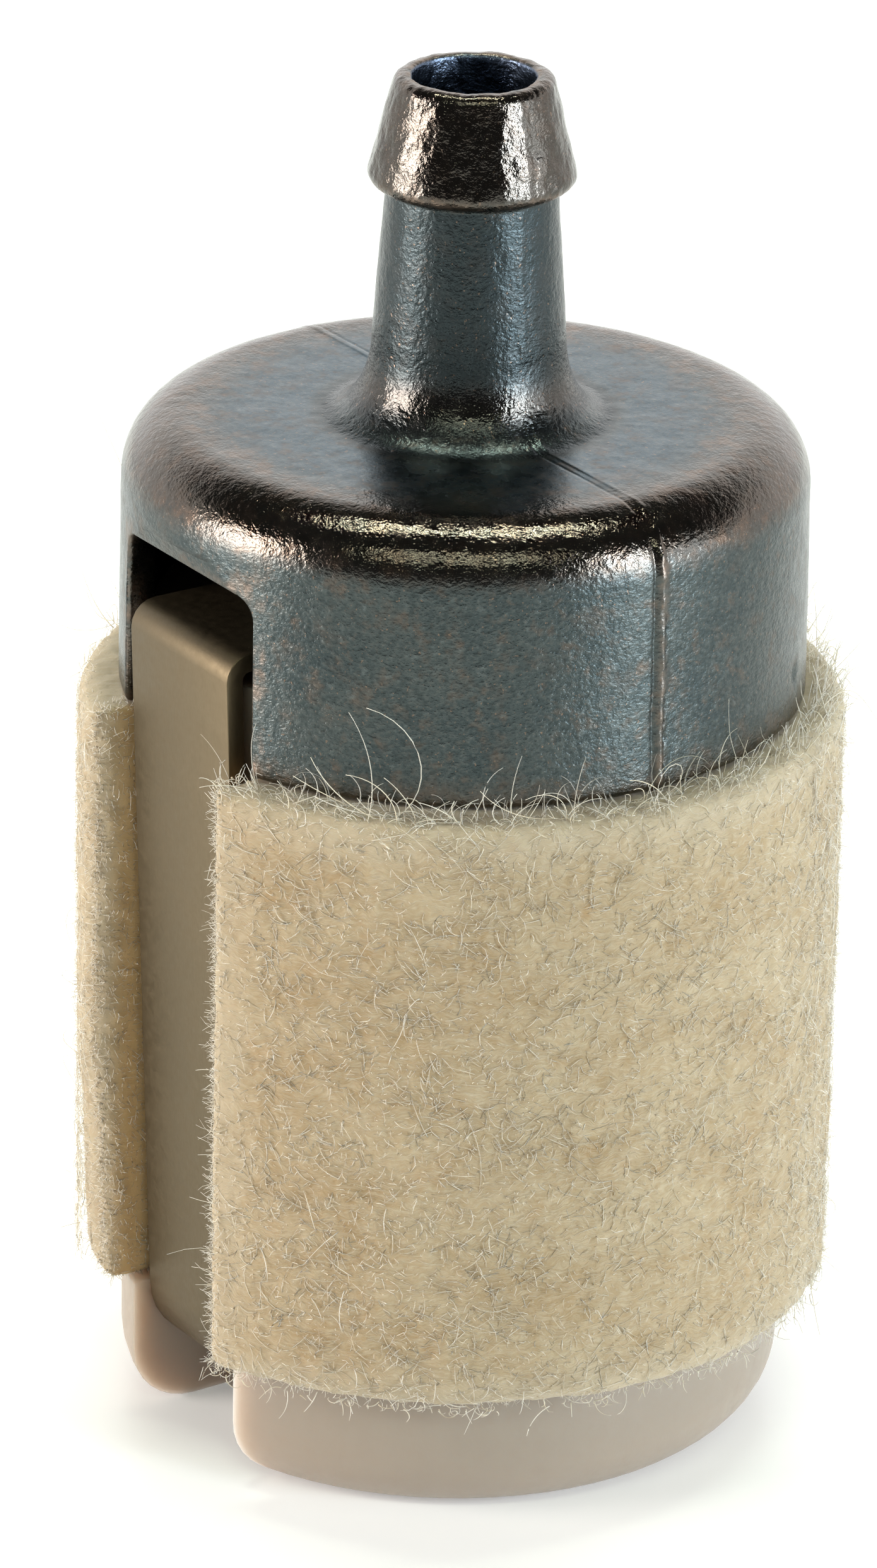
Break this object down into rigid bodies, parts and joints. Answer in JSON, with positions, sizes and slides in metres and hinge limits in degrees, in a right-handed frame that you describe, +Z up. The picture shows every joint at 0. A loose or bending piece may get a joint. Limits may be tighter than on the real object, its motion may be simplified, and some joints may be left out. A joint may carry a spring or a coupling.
{
  "type": "fuel filter",
  "caption": "In-tank fuel filter: felt-wrapped plastic cage under a die-cast weight with a barbed hose nipple, clamped by a steel strap.",
  "frame": {"origin": "centre of the flat underside of the foot, on the hose axis", "axes": "+Z up along the hose axis towards the nipple's tip, -Y towards the steel strap, +X to the right when the strap faces the viewer"},
  "size_m": [0.0204, 0.02, 0.0373],
  "materials": {
    "cast_zinc": "satin",
    "strap_steel": "satin",
    "felt": "matte",
    "nylon": "satin",
    "screen_mesh": "matte",
    "seal_rubber": "matte"
  },
  "bodies": {
    "root": {"head": "cast_zinc", "strap_clip": "strap_steel", "felt_wrap": "felt", "cage": "nylon", "screen": "screen_mesh", "seal_ring": "seal_rubber"}
  },
  "joints": []
}
